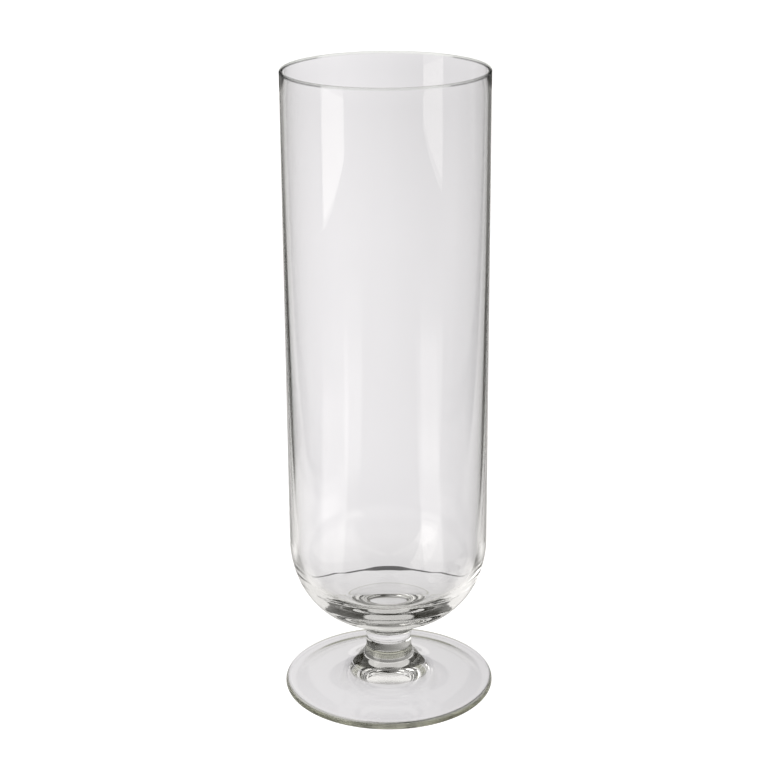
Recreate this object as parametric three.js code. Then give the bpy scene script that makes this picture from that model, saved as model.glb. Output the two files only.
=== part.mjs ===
// Footed highball glass: a tall straight bowl on a short waisted stem and a round foot, all in clear glass.
// The bowl, the stem and the foot are formed one by one and fused while hot, so each piece is a solid of
// revolution of its own, and they meet on two flat welds with nothing else between them.
// Millimetres, +Z up. The origin is on the table, under the middle of the foot.
import * as THREE from 'three';

// Overall height, from the table to the top of the rim
const totalHeight = 200;

// Bowl, outside
const bowlDiameter = 62.4;
const shoulderRise = 34.4; // from the top of the neck up to the shoulder, where the straight side begins
const roundDrop = 26.3; // depth of the rounding below the shoulder
const roundReach = 21.5; // how far in from the side that rounding reaches
const funnelSlope = 25; // degrees: slope at which the rounding passes into the funnel over the neck
const funnelRoundPull = 7; // how far the funnel stays with the rounding
const funnelNeckPull = 4; // how far it stays with the neck

// Bowl, inside
const rimWall = 1.0;
const shoulderWall = 2.3;
const wallSwellHeight = 62; // height above the shoulder at which the wall starts to thicken in earnest
const floorRise = 14.1; // solid glass between the top of the neck and the floor of the drink
const floorDiameter = 2; // the flat middle of that floor
const cornerWallPull = 15; // how far the inside corner stays with the wall
const cornerFloorPull = 18.5; // how far it stays with the floor

// Stem
const neckDiameter = 14.4;
const neckLength = 2.3; // the straight waist between the funnel and the flare
const flareHeight = 11.4; // height over which the neck spreads into the foot
const flareWeldAngle = 36; // degrees round the flare, from the neck, at which the stem meets the foot

// Foot
const footDiameter = 66.9;
const footThickness = 2.8;
const footWidestHeight = 1.3; // height of the widest line of the rounded edge
const edgeRoundAbove = 1.6; // width of the edge's rounding above that line
const edgeRoundBelow = 1.3; // width of the rounding below it
const topLandWidth = 0.65; // level ring on top, between the flare and the rounded edge
const restingRingWidth = 1.6; // flat ring on which the glass stands
const undersideHollow = 4.3; // how far the middle of the underside is lifted off the table
const hollowTipRadius = 5; // radius over which the tip of that hollow is rounded

// Fineness of the surfaces
const turnSteps = 64;
const longCurveSteps = 10;
const shortCurveSteps = 6;

// Radii and heights that follow from the sizes above
const bowlRadius = bowlDiameter / 2;
const neckRadius = neckDiameter / 2;
const footRadius = footDiameter / 2;
const topLandOutside = footRadius - edgeRoundAbove;
const flareReach = topLandOutside - topLandWidth - neckRadius;
const flareTop = footThickness + flareHeight;
const neckTop = flareTop + neckLength;
const shoulderHeight = neckTop + shoulderRise;
const floorHeight = neckTop + floorRise;

// The flare is a quarter of an ellipse, upright at the neck and level at the foot
const flareCentre = new THREE.Vector2(neckRadius + flareReach, flareTop);
const flareWeld = Math.PI + THREE.MathUtils.degToRad(flareWeldAngle);
const weldRadius = flareCentre.x + flareReach * Math.cos(flareWeld);
const weldHeight = flareCentre.y + flareHeight * Math.sin(flareWeld);

function point(radius, height) {
  return new THREE.Vector2(radius, height);
}

// Part of an upright ellipse, from one angle to another, as points of a half section
function arc(centreRadius, centreHeight, halfWidth, halfHeight, from, to, steps) {
  const clockwise = to < from;
  const centre = [centreRadius, centreHeight];
  const curve = new THREE.EllipseCurve(...centre, halfWidth, halfHeight, from, to, clockwise);
  return curve.getPoints(steps);
}

// A round piece of glass, turned from its half section. The section runs from the axis along the underside,
// up the outside and back to the axis.
function turnedGlass(name, section) {
  const geometry = new THREE.LatheGeometry(section, turnSteps);
  geometry.rotateX(Math.PI / 2);
  const material = new THREE.MeshStandardMaterial({
    color: 0xe9eae6,
    roughness: 0.03,
    metalness: 0,
    transparent: true,
    opacity: 0.35,
  });
  const mesh = new THREE.Mesh(geometry, material);
  mesh.name = name;
  return mesh;
}

// Bowl: weld face, funnel, rounded underside, straight side, fire-polished rim, then the inside, whose wall
// thickens towards the shoulder and turns into a floor
function bowl() {
  const slope = THREE.MathUtils.degToRad(funnelSlope);
  const roundCentre = point(bowlRadius - roundReach, shoulderHeight);
  const funnelAngle = Math.atan2(-roundDrop, roundReach * Math.tan(slope));
  const funnelEnd = point(
    roundCentre.x + roundReach * Math.cos(funnelAngle),
    roundCentre.y + roundDrop * Math.sin(funnelAngle),
  );
  const roundPull = point(
    funnelEnd.x - funnelRoundPull * Math.cos(slope),
    funnelEnd.y - funnelRoundPull * Math.sin(slope),
  );
  const neckEnd = point(neckRadius, neckTop);
  const funnel = new THREE.CubicBezierCurve(
    neckEnd,
    point(neckRadius, neckTop + funnelNeckPull),
    roundPull,
    funnelEnd,
  );
  const lip = rimWall / 2;
  const insideRim = point(bowlRadius - rimWall, totalHeight - lip);
  const insideShoulder = point(bowlRadius - shoulderWall, shoulderHeight);
  const swell = point(insideRim.x, shoulderHeight + wallSwellHeight);
  const inward = insideShoulder.clone().sub(swell).normalize();
  const wallPull = insideShoulder.clone().addScaledVector(inward, cornerWallPull);
  const floorEdge = point(floorDiameter / 2, floorHeight);
  const floorPull = point(floorEdge.x + cornerFloorPull, floorHeight);
  const wall = new THREE.QuadraticBezierCurve(insideRim, swell, insideShoulder);
  const corner = new THREE.CubicBezierCurve(insideShoulder, wallPull, floorPull, floorEdge);
  return turnedGlass('bowl', [
    point(0, neckTop),
    ...funnel.getPoints(longCurveSteps),
    ...arc(roundCentre.x, roundCentre.y, roundReach, roundDrop, funnelAngle, 0, longCurveSteps).slice(1),
    ...arc(bowlRadius - lip, totalHeight - lip, lip, lip, 0, Math.PI, shortCurveSteps),
    ...wall.getPoints(shortCurveSteps).slice(1),
    ...corner.getPoints(longCurveSteps).slice(1),
    point(0, floorHeight),
  ]);
}

// Stem: a short waist that spreads like a trumpet, as far as the weld to the foot
function stem() {
  return turnedGlass('stem', [
    point(0, weldHeight),
    ...arc(flareCentre.x, flareCentre.y, flareReach, flareHeight, flareWeld, Math.PI, longCurveSteps),
    point(neckRadius, neckTop),
    point(0, neckTop),
  ]);
}

// Foot: a hollow underside inside the resting ring, a rounded edge, and a top that rises along the rest of
// the flare
function foot() {
  const ringOutside = footRadius - edgeRoundBelow;
  const ringInside = ringOutside - restingRingWidth;
  const hollow = new THREE.QuadraticBezierCurve(
    point(0, undersideHollow),
    point(hollowTipRadius, undersideHollow),
    point(ringInside, 0),
  );
  const widest = footWidestHeight;
  const roundAbove = footThickness - widest;
  const flareFoot = Math.PI * 1.5;
  return turnedGlass('foot', [
    ...hollow.getPoints(longCurveSteps),
    ...arc(ringOutside, widest, edgeRoundBelow, widest, -Math.PI / 2, 0, shortCurveSteps),
    ...arc(topLandOutside, widest, edgeRoundAbove, roundAbove, 0, Math.PI / 2, shortCurveSteps).slice(1),
    ...arc(flareCentre.x, flareCentre.y, flareReach, flareHeight, flareFoot, flareWeld, longCurveSteps),
    point(0, weldHeight),
  ]);
}

const glass = new THREE.Group();
glass.add(bowl(), stem(), foot());

export default glass;
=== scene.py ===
# Footed highball glass: three fused pieces of clear glass on a white table, in a plain studio.
import bpy
import math
from mathutils import Matrix, Vector


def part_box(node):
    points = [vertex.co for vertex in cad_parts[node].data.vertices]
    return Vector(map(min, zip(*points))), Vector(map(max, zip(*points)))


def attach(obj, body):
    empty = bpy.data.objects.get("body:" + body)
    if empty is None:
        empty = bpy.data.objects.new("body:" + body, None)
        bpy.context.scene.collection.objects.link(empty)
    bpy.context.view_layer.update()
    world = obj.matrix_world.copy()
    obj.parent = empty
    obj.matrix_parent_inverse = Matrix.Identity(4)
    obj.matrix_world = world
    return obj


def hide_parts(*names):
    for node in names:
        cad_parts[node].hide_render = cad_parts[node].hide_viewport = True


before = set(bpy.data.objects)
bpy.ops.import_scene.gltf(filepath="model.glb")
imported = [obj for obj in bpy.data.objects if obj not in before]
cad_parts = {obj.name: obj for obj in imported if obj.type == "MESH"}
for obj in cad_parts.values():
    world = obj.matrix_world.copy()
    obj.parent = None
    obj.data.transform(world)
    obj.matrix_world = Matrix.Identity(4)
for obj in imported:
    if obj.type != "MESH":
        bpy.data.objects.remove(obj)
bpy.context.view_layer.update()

MM = 0.001  # one millimetre, in metres

# Sizes that the frame gives, in millimetres
bowl_low, bowl_high = (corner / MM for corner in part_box("bowl"))
stem_low, _ = (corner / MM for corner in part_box("stem"))
_, foot_high = (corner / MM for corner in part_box("foot"))
BOWL_RADIUS = bowl_high.x
TOTAL_HEIGHT = bowl_high.z
NECK_TOP = bowl_low.z
FOOT_WELD_HEIGHT = stem_low.z
FOOT_RADIUS = foot_high.x

# Bowl, in millimetres: the rounding under the shoulder, the funnel over the neck, the wall and the floor
SHOULDER_HEIGHT = NECK_TOP + 34.4
ROUND_DROP = 26.3
ROUND_REACH = 21.5
FUNNEL_SLOPE = math.radians(25)
FUNNEL_ROUND_PULL = 7.0
FUNNEL_NECK_PULL = 4.0
RIM_WALL = 1.0
SHOULDER_WALL = 2.3
WALL_SWELL_HEIGHT = 62.0
FLOOR_HEIGHT = NECK_TOP + 14.1
FLOOR_RADIUS = 1.0
CORNER_WALL_PULL = 15.0
CORNER_FLOOR_PULL = 18.5

# Stem and foot, in millimetres
NECK_RADIUS = 7.2
NECK_LENGTH = 2.3
FLARE_TOP = NECK_TOP - NECK_LENGTH
FLARE_HEIGHT = 11.4
EDGE_ROUND_ABOVE = 1.6
EDGE_ROUND_BELOW = 1.3
EDGE_WIDEST_HEIGHT = 1.3
TOP_LAND_WIDTH = 0.65
RESTING_RING_WIDTH = 1.6
HOLLOW_HEIGHT = 4.3
HOLLOW_TIP_RADIUS = 5.0
TOP_LAND_OUTSIDE = FOOT_RADIUS - EDGE_ROUND_ABOVE
FLARE_OUTSIDE = TOP_LAND_OUTSIDE - TOP_LAND_WIDTH
RING_OUTSIDE = FOOT_RADIUS - EDGE_ROUND_BELOW
RING_INSIDE = RING_OUTSIDE - RESTING_RING_WIDTH
FOOT_THICKNESS = FLARE_TOP - FLARE_HEIGHT
FLARE_REACH = FLARE_OUTSIDE - NECK_RADIUS
FLARE_WELD_ANGLE = math.pi + math.asin((FLARE_TOP - FOOT_WELD_HEIGHT) / FLARE_HEIGHT)

# Fineness of the turned surfaces: steps round the axis, and along each stretch of a section
TURN_STEPS = 224
FUNNEL_STEPS = 50
ROUNDING_STEPS = 70
SIDE_STEPS = 24
LIP_STEPS = 20
WALL_STEPS = 40
CORNER_STEPS = 70
STEM_FLARE_STEPS = 40
HOLLOW_STEPS = 40
EDGE_BELOW_STEPS = 16
EDGE_ABOVE_STEPS = 18
FOOT_FLARE_STEPS = 50
MERGE_DISTANCE = 1e-6
SHARP_ANGLE = math.radians(40)


def arc(centre, half_width, half_height, start, end, steps):
    """Part of an upright ellipse as points of a half section."""
    points = []
    for step in range(steps + 1):
        angle = start + (end - start) * step / steps
        radius = centre[0] + half_width * math.cos(angle)
        height = centre[1] + half_height * math.sin(angle)
        points.append(Vector((radius, height)))
    return points


def bezier(controls, steps):
    """A Bezier curve from its first to its last control, as points of a half section."""
    points = []
    for step in range(steps + 1):
        share = step / steps
        row = [Vector(control) for control in controls]
        while len(row) > 1:
            row = [a.lerp(b, share) for a, b in zip(row, row[1:])]
        points.append(row[0])
    return points


def turn_piece(name, section):
    """Draws a half section vertex by vertex, as on a lathe, and spins it round the upright axis."""
    start = section[0]
    bpy.ops.object.select_all(action="DESELECT")
    bpy.ops.mesh.primitive_plane_add(size=MM)
    piece = bpy.context.active_object
    piece.name = name
    piece.data.name = name
    bpy.ops.object.mode_set(mode="EDIT")
    bpy.ops.mesh.select_all(action="SELECT")
    bpy.ops.mesh.merge(type="CENTER")
    bpy.ops.transform.translate(value=(start.x * MM, 0, start.y * MM))
    for here, there in zip(section, section[1:]):
        move = ((there.x - here.x) * MM, 0, (there.y - here.y) * MM)
        bpy.ops.mesh.extrude_vertices_move(TRANSFORM_OT_translate={"value": move})
    bpy.ops.mesh.select_all(action="SELECT")
    bpy.ops.mesh.spin(steps=TURN_STEPS, angle=math.tau, center=(0, 0, 0), axis=(0, 0, 1))
    bpy.ops.mesh.select_all(action="SELECT")
    bpy.ops.mesh.remove_doubles(threshold=MERGE_DISTANCE)
    bpy.ops.mesh.normals_make_consistent(inside=False)
    bpy.ops.object.mode_set(mode="OBJECT")
    bpy.ops.object.shade_smooth_by_angle(angle=SHARP_ANGLE)
    return piece


def bowl_section():
    """Weld face, funnel, rounding, straight side, fire-polished rim, then the inside down to the floor."""
    round_centre = Vector((BOWL_RADIUS - ROUND_REACH, SHOULDER_HEIGHT))
    round_start = math.atan2(-ROUND_DROP, ROUND_REACH * math.tan(FUNNEL_SLOPE))
    rounding = arc(round_centre, ROUND_REACH, ROUND_DROP, round_start, 0, ROUNDING_STEPS)
    along_round = Vector((math.cos(FUNNEL_SLOPE), math.sin(FUNNEL_SLOPE)))
    neck = Vector((NECK_RADIUS, NECK_TOP))
    neck_pull = neck + Vector((0, FUNNEL_NECK_PULL))
    round_pull = rounding[0] - along_round * FUNNEL_ROUND_PULL
    lip = RIM_WALL / 2
    inside_rim = Vector((BOWL_RADIUS - RIM_WALL, TOTAL_HEIGHT - lip))
    inside_shoulder = Vector((BOWL_RADIUS - SHOULDER_WALL, SHOULDER_HEIGHT))
    swell = Vector((inside_rim.x, SHOULDER_HEIGHT + WALL_SWELL_HEIGHT))
    wall_pull = inside_shoulder + (inside_shoulder - swell).normalized() * CORNER_WALL_PULL
    floor_edge = Vector((FLOOR_RADIUS, FLOOR_HEIGHT))
    floor_pull = floor_edge + Vector((CORNER_FLOOR_PULL, 0))
    rim_foot = Vector((BOWL_RADIUS, TOTAL_HEIGHT - lip))
    return [
        Vector((0, NECK_TOP)),
        *bezier([neck, neck_pull, round_pull, rounding[0]], FUNNEL_STEPS),
        *rounding[1:],
        *bezier([rounding[-1], rim_foot], SIDE_STEPS)[1:],
        *arc((BOWL_RADIUS - lip, rim_foot.y), lip, lip, 0, math.pi, LIP_STEPS)[1:],
        *bezier([inside_rim, swell, inside_shoulder], WALL_STEPS)[1:],
        *bezier([inside_shoulder, wall_pull, floor_pull, floor_edge], CORNER_STEPS)[1:],
        Vector((0, FLOOR_HEIGHT)),
    ]


def stem_section():
    """The trumpet from the weld on the foot up to the waist, and the short waist itself."""
    flare_centre = (FLARE_OUTSIDE, FLARE_TOP)
    return [
        Vector((0, FOOT_WELD_HEIGHT)),
        *arc(flare_centre, FLARE_REACH, FLARE_HEIGHT, FLARE_WELD_ANGLE, math.pi, STEM_FLARE_STEPS),
        Vector((NECK_RADIUS, NECK_TOP)),
        Vector((0, NECK_TOP)),
    ]


def foot_section():
    """The hollow underside, the resting ring, the rounded edge and the rest of the flare up to the weld."""
    hollow_tip = Vector((0, HOLLOW_HEIGHT))
    hollow_pull = Vector((HOLLOW_TIP_RADIUS, HOLLOW_HEIGHT))
    ring_inside = Vector((RING_INSIDE, 0))
    widest = EDGE_WIDEST_HEIGHT
    above = FOOT_THICKNESS - widest
    quarter = math.pi / 2
    flare_centre = (FLARE_OUTSIDE, FLARE_TOP)
    flare_foot = math.pi + quarter
    return [
        *bezier([hollow_tip, hollow_pull, ring_inside], HOLLOW_STEPS),
        *arc((RING_OUTSIDE, widest), EDGE_ROUND_BELOW, widest, -quarter, 0, EDGE_BELOW_STEPS),
        *arc((TOP_LAND_OUTSIDE, widest), EDGE_ROUND_ABOVE, above, 0, quarter, EDGE_ABOVE_STEPS)[1:],
        *arc(flare_centre, FLARE_REACH, FLARE_HEIGHT, flare_foot, FLARE_WELD_ANGLE, FOOT_FLARE_STEPS),
        Vector((0, FOOT_WELD_HEIGHT)),
    ]


# Glass. Lengths are in millimetres.
GLASS_IOR = 1.52
RIPPLE_DEPTH = 0.003
MOST_HAZE = 0.012  # roughness on the crests of the ripple
SHADOW_COLOUR = "#F2F3F1"
LIP_PALE_FROM = TOTAL_HEIGHT - 1.0
LIP_PALE_TO = TOTAL_HEIGHT - 0.6
LIP_PALE_SHARE = 0.75
LEVEL_NORMAL = 0.999  # least upright part of a level face's normal


def linear_colour(code):
    """An sRGB hex colour as linear red, green, blue and alpha."""
    channels = [int(code[place:place + 2], 16) / 255 for place in (1, 3, 5)]
    lit = [c / 12.92 if c <= 0.04045 else ((c + 0.055) / 1.055) ** 2.4 for c in channels]
    return (*lit, 1.0)


def add_node(tree, kind, inputs=None, **settings):
    """Adds a node, sets its options, and sets or links its inputs."""
    node = tree.nodes.new("ShaderNode" + kind)
    for option, value in settings.items():
        setattr(node, option, value)
    for socket, value in (inputs or {}).items():
        if isinstance(value, bpy.types.NodeSocket):
            tree.links.new(value, node.inputs[socket])
        else:
            node.inputs[socket].default_value = value
    return node


def empty_tree(owner):
    """The cleared node tree of a new material or world."""
    owner.use_nodes = True
    owner.node_tree.nodes.clear()
    return owner.node_tree


def clear_glass(material, tint, ripple_width, pale_lip=False):
    """Clear glass: sharp reflections and refraction, the faint ripple that melted glass keeps, and a shadow
    that is thin, because most of a lamp's light goes through. Rays that are caught in a thin wall leave its
    lip too dark, so a pale lip lets most of them straight through."""
    tree = material.node_tree
    place = add_node(tree, "TexCoord").outputs["Object"]
    ripple = add_node(tree, "TexNoise", {
        "Vector": place,
        "Scale": 1 / (ripple_width * MM),
        "Detail": 1.0,
    }).outputs["Fac"]
    bump = add_node(tree, "Bump", {"Height": ripple, "Distance": RIPPLE_DEPTH * MM})
    haze = add_node(tree, "MapRange", {"Value": ripple, "To Min": 0.0, "To Max": MOST_HAZE})
    glass = add_node(tree, "BsdfPrincipled", {
        "Base Color": tint,
        "Roughness": haze.outputs["Result"],
        "IOR": GLASS_IOR,
        "Transmission Weight": 1.0,
        "Normal": bump.outputs["Normal"],
    })
    passing = add_node(tree, "LightPath").outputs["Is Shadow Ray"]
    if pale_lip:
        height = add_node(tree, "SeparateXYZ", {0: place}).outputs["Z"]
        lip = add_node(tree, "MapRange", {
            "Value": height,
            "From Min": LIP_PALE_FROM * MM,
            "From Max": LIP_PALE_TO * MM,
            "To Max": LIP_PALE_SHARE,
        }).outputs["Result"]
        passing = add_node(tree, "Math", {0: passing, 1: lip}, operation="MAXIMUM").outputs[0]
    through = add_node(tree, "BsdfTransparent", {"Color": linear_colour(SHADOW_COLOUR)})
    both = add_node(tree, "MixShader", {0: passing, 1: glass.outputs[0], 2: through.outputs[0]})
    add_node(tree, "OutputMaterial", {"Surface": both.outputs[0]})


def tint_between(tree, amount, low, high, low_colour, high_colour):
    """A tint that passes from one colour to another as an amount passes between two sizes in millimetres."""
    share = add_node(tree, "MapRange", {
        "Value": amount,
        "From Min": low * MM,
        "From Max": high * MM,
    }, interpolation_type="SMOOTHSTEP")
    mix = add_node(tree, "Mix", {
        "Factor": share.outputs["Result"],
        "A": linear_colour(low_colour),
        "B": linear_colour(high_colour),
    }, data_type="RGBA")
    return mix.outputs["Result"]


def blown_soda_lime():
    """Blown soda-lime glass of the bowl: colourless in the thin wall, faintly olive in the thick base."""
    base_height = 30
    wall_height = 52
    material = bpy.data.materials.new("blown_soda_lime_glass")
    tree = empty_tree(material)
    place = add_node(tree, "TexCoord").outputs["Object"]
    height = add_node(tree, "SeparateXYZ", {0: place}).outputs["Z"]
    tint = tint_between(tree, height, base_height, wall_height, "#FDFDFC", "#FEFEFE")
    clear_glass(material, tint, ripple_width=16, pale_lip=True)
    return material


def drawn_soda_lime():
    """Soda-lime glass of the stem, solid and short, so its olive tint shows a little."""
    material = bpy.data.materials.new("drawn_soda_lime_glass")
    tree = empty_tree(material)
    place = add_node(tree, "TexCoord").outputs["Object"]
    height = add_node(tree, "SeparateXYZ", {0: place}).outputs["Z"]
    tint = tint_between(tree, height, FOOT_WELD_HEIGHT, NECK_TOP, "#FDFDFC", "#FDFDFB")
    clear_glass(material, tint, ripple_width=9)
    return material


def pressed_soda_lime():
    """Pressed soda-lime glass of the foot: clear across the disc, olive at the edge, where the light that
    runs along inside the disc comes out. That olive is partly the glass's own green along the long path, and
    partly painted shade that darkens the rounded edge."""
    clear_radius = FOOT_RADIUS - 0.8
    olive_shade_radius = FOOT_RADIUS - 0.1
    material = bpy.data.materials.new("pressed_soda_lime_glass")
    tree = empty_tree(material)
    place = add_node(tree, "TexCoord").outputs["Object"]
    flat = add_node(tree, "VectorMath", {0: place, 1: (1, 1, 0)}, operation="MULTIPLY").outputs[0]
    radius = add_node(tree, "VectorMath", {0: flat}, operation="LENGTH").outputs["Value"]
    # Partly painted shade: the dark olive tint darkens the lines of the rounded edge
    tint = tint_between(tree, radius, clear_radius, olive_shade_radius, "#FDFDFD", "#B4B69E")
    clear_glass(material, tint, ripple_width=22)
    return material


def fused_weld():
    """The fused faces inside the glass, where two pieces have become one and nothing is to be seen."""
    material = bpy.data.materials.new("fused_weld")
    tree = empty_tree(material)
    through = add_node(tree, "BsdfTransparent", {"Color": linear_colour("#FFFFFF")})
    add_node(tree, "OutputMaterial", {"Surface": through.outputs[0]})
    return material


def dress(piece, node, material, weld, weld_heights):
    """Gives a piece its glass, makes its weld faces vanish, and puts it in the place of its CAD node."""
    piece.data.materials.append(material)
    piece.data.materials.append(weld)
    for face in piece.data.polygons:
        level = abs(face.normal.z) > LEVEL_NORMAL
        on_weld = any(abs(face.center.z - height * MM) < MERGE_DISTANCE for height in weld_heights)
        if level and on_weld:
            face.material_index = 1
    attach(piece, "root")
    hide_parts(node)


weld = fused_weld()
bowl = turn_piece("glass_bowl", bowl_section())
stem = turn_piece("glass_stem", stem_section())
foot = turn_piece("glass_foot", foot_section())
dress(bowl, "bowl", blown_soda_lime(), weld, [NECK_TOP])
dress(stem, "stem", drawn_soda_lime(), weld, [NECK_TOP, FOOT_WELD_HEIGHT])
dress(foot, "foot", pressed_soda_lime(), weld, [FOOT_WELD_HEIGHT])

# Studio. Lengths are in metres, from the middle of the foot. Across is to the right and away is to the back.
# Bearings are in degrees from straight behind the glass, with left as minus, and rises in degrees above the
# horizon.
TABLE_REACH = 4.0
TABLE_DROP = 0.0001  # keeps the table clear of the resting ring
TABLE_COLOUR = "#E6E6E6"
TABLE_LIFT = 0.83  # what the lit table lacks to be white in view
SHADE_COLOUR = "#26251E"
GLOW_COLOUR = "#FFFDFA"

# The pale background that is seen straight through glass: its light, and the painted shading that changes it
# from
# one place to another: a painted shadow round the foot, painted light that falls off to the right, darker at
# the back
BACKGROUND_COLOUR = "#FFFDFF"
BACKGROUND_LIGHT = 0.90
BACKGROUND_PAINTED_SHADING = {
    "distance": ((0.034, 0.10), (0.85, 1.0)),
    "away": ((0.55, 1.15), (1.0, 0.89)),
    "across": ((-0.035, 0.035), (1.085, 0.96)),
}

# A painted shadow of the glass on the table, a dark line that is seen only straight through glass: it arches
# away in the middle, where it is broader too
PAINTED_SHADOW_LINE = 0.0473
PAINTED_SHADOW_LINE_RISE = 0.0092
PAINTED_SHADOW_LINE_RISE_REACH = 0.033
PAINTED_SHADOW_LINE_MIDDLE_WIDTH = 0.0034
PAINTED_SHADOW_LINE_SIDE_WIDTH = 0.0012
PAINTED_SHADOW_LINE_BROAD_TO = 0.004
PAINTED_SHADOW_LINE_NARROW_FROM = 0.008
PAINTED_SHADOW_LINE_HALF_LENGTH = 0.06
PAINTED_SHADOW_LINE_SHADE = 0.85

# What glass reflects: cards in the room, and patches of light on the table. Left and right are distances out
# from the middle line, less the slant with which a pale sheet spreads towards the back.
CARD_SOFTNESS = 2
CARDS = {
    "behind": {"light": 0.62, "bearing": (-18, 18), "rise": (-12, 52)},
    "left": {"light": 0.90, "bearing": (-135, -54), "rise": (-12, 91)},
    "right": {"light": 0.80, "bearing": (54, 135), "rise": (-12, 91)},
}
SHEET_SLANT = 0.16
PATCH_SOFTNESS = {
    "bearing": 4,
    "distance": 0.08,
    "across": 0.01,
    "away": 0.03,
    "left": 0.015,
    "right": 0.015,
}
TABLE_PATCHES = {
    "pale sheet": {
        "light": 0.93,
        "left": (-TABLE_REACH, 0.101),
        "right": (-TABLE_REACH, 0.097),
        "away": (0.06, TABLE_REACH),
    },
    "close behind": {"light": 0.85, "across": (-0.031, 0.031), "away": (0.03, 0.08)},
    "shade behind": {"light": 0.28, "across": (-0.10, 0.10), "away": (0.02, 0.10)},
    "near left": {"light": 0.47, "across": (-0.20, 0), "away": (-0.05, 0.12)},
    "left of the foot": {"light": 0.90, "across": (-0.10, -0.034), "away": (-0.02, 0.04)},
    "right of the foot": {"light": 0.90, "across": (0.034, 0.10), "away": (-0.02, 0.04)},
    "far left": {"light": 0.38, "left": (0.215, TABLE_REACH), "away": (-0.20, TABLE_REACH)},
    "far right": {"light": 0.17, "right": (0.186, TABLE_REACH), "away": (-0.20, TABLE_REACH)},
    "left pool": {"light": 1.05, "bearing": (-142, -105), "distance": (0.10, 0.34)},
    "left pool's fringe": {"light": 0.55, "bearing": (-142, -105), "distance": (0.10, 0.45)},
    "right pool": {"light": 1.05, "bearing": (126, 154), "distance": (0.10, 0.30)},
    "right pool's fringe": {"light": 0.60, "bearing": (126, 154), "distance": (0.10, 0.42)},
    "front": {"light": 0.30, "away": (-TABLE_REACH, -0.08)},
}

# Softbox on the left, turned to the right, with its lower edge just clear of the table
SOFTBOX_WIDTH = 0.35
SOFTBOX_HEIGHT = 0.70
SOFTBOX_ACROSS = -0.525
SOFTBOX_AWAY = -0.35
SOFTBOX_CLEARANCE = 0.018
SOFTBOX_RADIANCE = 1.4
SOFTBOX_COLOUR = "#FFFDF8"

# Camera, fitted to the ellipses of the rim and the foot
CAMERA_PLACE = (-0.000702, -0.56098, 0.29905)
CAMERA_DIP = math.radians(19.356)
CAMERA_ROLL = math.radians(-0.3643)
CAMERA_LENS = 90.01  # millimetres, as is the sensor
CAMERA_SENSOR = 36.0
CAMERA_NEAREST = 0.01


def soft_patches(tree, measures, patches):
    """Light of soft-edged patches on a dark ground, where the brightest shows. A patch gives its light and,
    for each measure that it names, the values between which it lies. A measure is a node socket and the width
    of an edge."""
    light = 0.0
    for patch in patches.values():
        share = patch["light"]
        for name, (value, softness) in measures.items():
            if name not in patch:
                continue
            for limit, ends in zip(patch[name], ((0, 1), (1, 0))):
                inside = add_node(tree, "MapRange", {
                    "Value": value,
                    "From Min": limit - softness / 2,
                    "From Max": limit + softness / 2,
                    "To Min": ends[0],
                    "To Max": ends[1],
                }).outputs["Result"]
                share = add_node(tree, "Math", {0: share, 1: inside}, operation="MULTIPLY").outputs[0]
        light = add_node(tree, "Math", {0: light, 1: share}, operation="MAXIMUM").outputs[0]
    return light


def glow(tree, light):
    """The colour of light seen by reflection: warm white where there is much of it, olive shade where there
    is none."""
    mix = add_node(tree, "Mix", {
        "Factor": light,
        "A": linear_colour(SHADE_COLOUR),
        "B": linear_colour(GLOW_COLOUR),
    }, data_type="RGBA", clamp_factor=False)
    return mix.outputs["Result"]


def straight_ray(tree):
    """1 for a ray that has come through glass by refraction alone, with no reflection on its way."""
    path = add_node(tree, "LightPath")
    depth = path.outputs["Glossy Depth"]
    through = path.outputs["Is Transmission Ray"]
    unreflected = add_node(tree, "Math", {0: depth, 1: 0.5}, operation="LESS_THAN").outputs[0]
    return add_node(tree, "Math", {0: unreflected, 1: through}, operation="MULTIPLY").outputs[0]


def background_light(tree, places):
    """Light of the pale background seen straight through glass, with its painted shading. Each place is a
    node socket in metres.
    """
    light = BACKGROUND_LIGHT
    for name, place in places.items():
        (start, end), (first, last) = BACKGROUND_PAINTED_SHADING[name]
        ramp = add_node(tree, "MapRange", {
            "Value": place,
            "From Min": start,
            "From Max": end,
            "To Min": first,
            "To Max": last,
        }).outputs["Result"]
        light = add_node(tree, "Math", {0: light, 1: ramp}, operation="MULTIPLY").outputs[0]
    return light


def studio_world():
    """A dim room with a white card behind the glass and one at each side. Seen by the camera it is white, and
    straight through glass it goes on as the far end of the table."""
    world = bpy.data.worlds.new("studio")
    bpy.context.scene.world = world
    tree = empty_tree(world)
    direction = add_node(tree, "TexCoord").outputs["Generated"]
    across, away, up = add_node(tree, "SeparateXYZ", {0: direction}).outputs
    turn = add_node(tree, "Math", {0: across, 1: away}, operation="ARCTAN2").outputs[0]
    bearing = add_node(tree, "Math", {0: turn}, operation="DEGREES").outputs[0]
    climb = add_node(tree, "Math", {0: up}, operation="ARCSINE").outputs[0]
    rise = add_node(tree, "Math", {0: climb}, operation="DEGREES").outputs[0]
    measures = {"bearing": (bearing, CARD_SOFTNESS), "rise": (rise, CARD_SOFTNESS)}
    light = soft_patches(tree, measures, CARDS)
    bounced = add_node(tree, "Background", {"Color": glow(tree, light)}).outputs[0]
    far = add_node(tree, "VectorMath", {0: direction, "Scale": TABLE_REACH}, operation="SCALE").outputs[0]
    far_across, far_away, _ = add_node(tree, "SeparateXYZ", {0: far}).outputs
    pale = background_light(tree, {"away": far_away, "across": far_across})
    straight = add_node(tree, "Background", {
        "Color": linear_colour(BACKGROUND_COLOUR),
        "Strength": pale,
    }).outputs[0]
    direct = add_node(tree, "Background", {"Color": linear_colour("#FFFFFF")}).outputs[0]
    in_glass = add_node(tree, "MixShader", {0: straight_ray(tree), 1: bounced, 2: straight}).outputs[0]
    camera_ray = add_node(tree, "LightPath").outputs["Is Camera Ray"]
    seen = add_node(tree, "MixShader", {0: camera_ray, 1: in_glass, 2: direct})
    add_node(tree, "OutputWorld", {"Surface": seen.outputs[0]})


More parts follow.
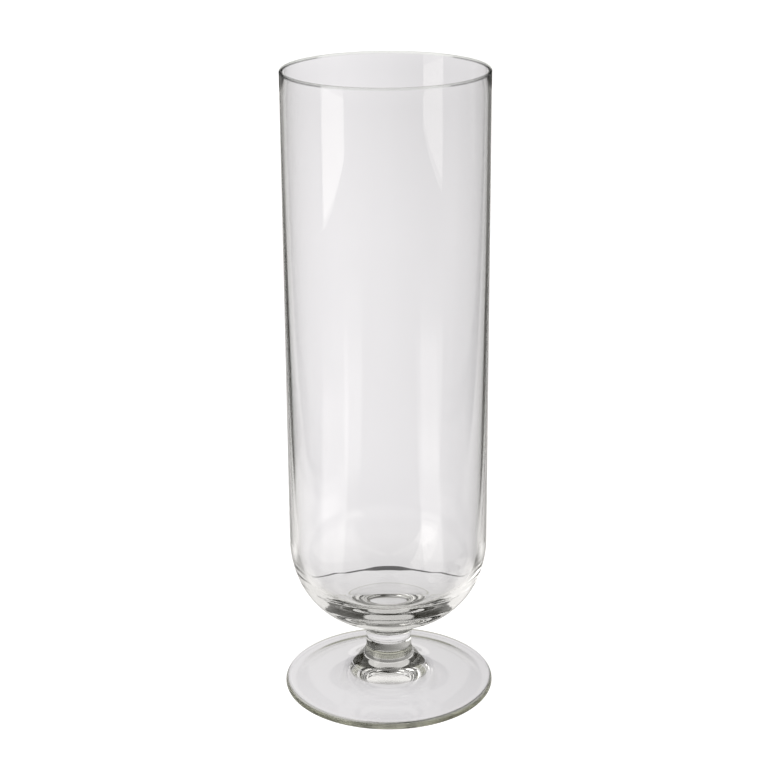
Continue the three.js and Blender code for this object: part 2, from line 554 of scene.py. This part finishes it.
def painted_shadow_line(tree, aside, away):
    """What the painted shadow line on the table leaves of the light: 1 beside the line, and little on it."""
    edge = add_node(tree, "MapRange", {
        "Value": aside,
        "From Min": 0.0,
        "From Max": PAINTED_SHADOW_LINE_RISE_REACH,
        "To Min": PAINTED_SHADOW_LINE + PAINTED_SHADOW_LINE_RISE,
        "To Max": PAINTED_SHADOW_LINE,
    }, interpolation_type="SMOOTHSTEP").outputs["Result"]
    reach = add_node(tree, "MapRange", {
        "Value": aside,
        "From Min": PAINTED_SHADOW_LINE_BROAD_TO,
        "From Max": PAINTED_SHADOW_LINE_NARROW_FROM,
        "To Min": PAINTED_SHADOW_LINE_MIDDLE_WIDTH / 2,
        "To Max": PAINTED_SHADOW_LINE_SIDE_WIDTH / 2,
    }).outputs["Result"]
    # The painted shadow line: a thin dark band on the table behind the foot, broader in the middle
    on_line = add_node(tree, "Math", {0: away, 1: edge, 2: reach}, operation="COMPARE").outputs[0]
    near = add_node(tree, "Math", {0: aside, 1: PAINTED_SHADOW_LINE_HALF_LENGTH}, operation="LESS_THAN").outputs[0]
    dark = add_node(tree, "Math", {0: on_line, 1: near}, operation="MULTIPLY").outputs[0]
    left_over = add_node(tree, "Math", {0: dark, 1: -PAINTED_SHADOW_LINE_SHADE, 2: 1.0}, operation="MULTIPLY_ADD")
    return left_over.outputs[0]


def bearing_past_bowl(tree, across, aside, away):
    """The bearing of a place on the table, seen from the nearer side of the bowl."""
    beyond = add_node(tree, "Math", {0: aside, 1: BOWL_RADIUS * MM}, operation="SUBTRACT").outputs[0]
    clear = add_node(tree, "Math", {0: beyond, 1: 0.0}, operation="MAXIMUM").outputs[0]
    side = add_node(tree, "Math", {0: across}, operation="SIGN").outputs[0]
    offset = add_node(tree, "Math", {0: clear, 1: side}, operation="MULTIPLY").outputs[0]
    turn = add_node(tree, "Math", {0: offset, 1: away}, operation="ARCTAN2").outputs[0]
    return add_node(tree, "Math", {0: turn}, operation="DEGREES").outputs[0]


def white_table_top():
    """White table top, smooth and matt. Straight through glass it is pale, with painted shading: a painted
    shadow leaves it a little dimmer under the foot, painted light falls off to the right, it is darker at the
    back, and a thin dark line behind the foot is a painted shadow of the glass. In reflections it shows
    painted patches of light on it and painted shade between them."""
    material = bpy.data.materials.new("white_table_top")
    tree = empty_tree(material)
    place = add_node(tree, "TexCoord").outputs["Object"]
    across, away, _ = add_node(tree, "SeparateXYZ", {0: place}).outputs
    aside = add_node(tree, "Math", {0: across}, operation="ABSOLUTE").outputs[0]
    distance = add_node(tree, "VectorMath", {0: place}, operation="LENGTH").outputs["Value"]
    leftward = add_node(tree, "Math", {0: across, 1: -1.0}, operation="MULTIPLY").outputs[0]
    slant = add_node(tree, "Math", {0: away, 1: SHEET_SLANT}, operation="MULTIPLY").outputs[0]
    places = {
        "bearing": bearing_past_bowl(tree, across, aside, away),
        "distance": distance,
        "across": across,
        "away": away,
        "left": add_node(tree, "Math", {0: leftward, 1: slant}, operation="SUBTRACT").outputs[0],
        "right": add_node(tree, "Math", {0: across, 1: slant}, operation="SUBTRACT").outputs[0],
    }
    measures = {name: (value, PATCH_SOFTNESS[name]) for name, value in places.items()}
    light = soft_patches(tree, measures, TABLE_PATCHES)
    bounced = add_node(tree, "Emission", {"Color": glow(tree, light)}).outputs[0]
    pale = background_light(tree, {"distance": distance, "away": away, "across": across})
    # Painted shadow line of the glass on the table, behind the foot
    dimming = painted_shadow_line(tree, aside, away)
    dimmed = add_node(tree, "Math", {0: pale, 1: dimming}, operation="MULTIPLY").outputs[0]
    straight = add_node(tree, "Emission", {
        "Color": linear_colour(BACKGROUND_COLOUR),
        "Strength": dimmed,
    }).outputs[0]
    in_glass = add_node(tree, "MixShader", {0: straight_ray(tree), 1: bounced, 2: straight}).outputs[0]
    path = add_node(tree, "LightPath")
    camera_ray = path.outputs["Is Camera Ray"]
    glass_ray = path.outputs["Is Transmission Ray"]
    mirror_ray = path.outputs["Is Glossy Ray"]
    lit = add_node(tree, "BsdfDiffuse", {"Color": linear_colour(TABLE_COLOUR)}).outputs[0]
    lift = add_node(tree, "Math", {0: camera_ray, 1: TABLE_LIFT}, operation="MULTIPLY").outputs[0]
    white = add_node(tree, "Emission", {"Strength": lift}).outputs[0]
    in_view = add_node(tree, "AddShader", {0: lit, 1: white}).outputs[0]
    by_glass = add_node(tree, "Math", {0: glass_ray, 1: mirror_ray}, operation="MAXIMUM").outputs[0]
    both = add_node(tree, "MixShader", {0: by_glass, 1: in_view, 2: in_glass})
    add_node(tree, "OutputMaterial", {"Surface": both.outputs[0]})
    return material


def white_table():
    """The plain white table on which the glass stands."""
    bpy.ops.object.select_all(action="DESELECT")
    bpy.ops.mesh.primitive_plane_add(size=2 * TABLE_REACH, location=(0, 0, -TABLE_DROP))
    table = bpy.context.active_object
    table.name = "white_table"
    table.data.materials.append(white_table_top())


def softbox():
    """The soft light standing on the left, which draws the pale stripes on the bowl."""
    lamp = bpy.data.lights.new("softbox", "AREA")
    lamp.shape = "RECTANGLE"
    lamp.size = SOFTBOX_WIDTH
    lamp.size_y = SOFTBOX_HEIGHT
    lamp.energy = math.pi * SOFTBOX_WIDTH * SOFTBOX_HEIGHT * SOFTBOX_RADIANCE
    lamp.color = linear_colour(SOFTBOX_COLOUR)[:3]
    box = bpy.data.objects.new("softbox", lamp)
    bpy.context.scene.collection.objects.link(box)
    box.location = (SOFTBOX_ACROSS, SOFTBOX_AWAY, SOFTBOX_HEIGHT / 2 + SOFTBOX_CLEARANCE)
    box.rotation_euler = (math.pi / 2, 0, -math.pi / 2)
    box.visible_camera = False


def camera():
    """The photograph's view: a long lens in front of the glass, a little above its rim, looking down."""
    view = bpy.data.cameras.new("camera")
    view.lens = CAMERA_LENS
    view.sensor_width = CAMERA_SENSOR
    view.clip_start = CAMERA_NEAREST
    look = bpy.data.objects.new("camera", view)
    bpy.context.scene.collection.objects.link(look)
    place = Matrix.Translation(CAMERA_PLACE)
    tilt = Matrix.Rotation(math.pi / 2 - CAMERA_DIP, 4, "X")
    roll = Matrix.Rotation(CAMERA_ROLL, 4, "Z")
    look.matrix_world = place @ tilt @ roll
    bpy.context.scene.camera = look


studio_world()
white_table()
softbox()
camera()

# Light needs many turns to get through glass
scene = bpy.context.scene
scene.view_settings.view_transform = "Standard"
scene.cycles.max_bounces = 40
scene.cycles.transmission_bounces = 32
scene.cycles.glossy_bounces = 32
scene.cycles.transparent_max_bounces = 64
scene.cycles.sample_clamp_indirect = 4.0
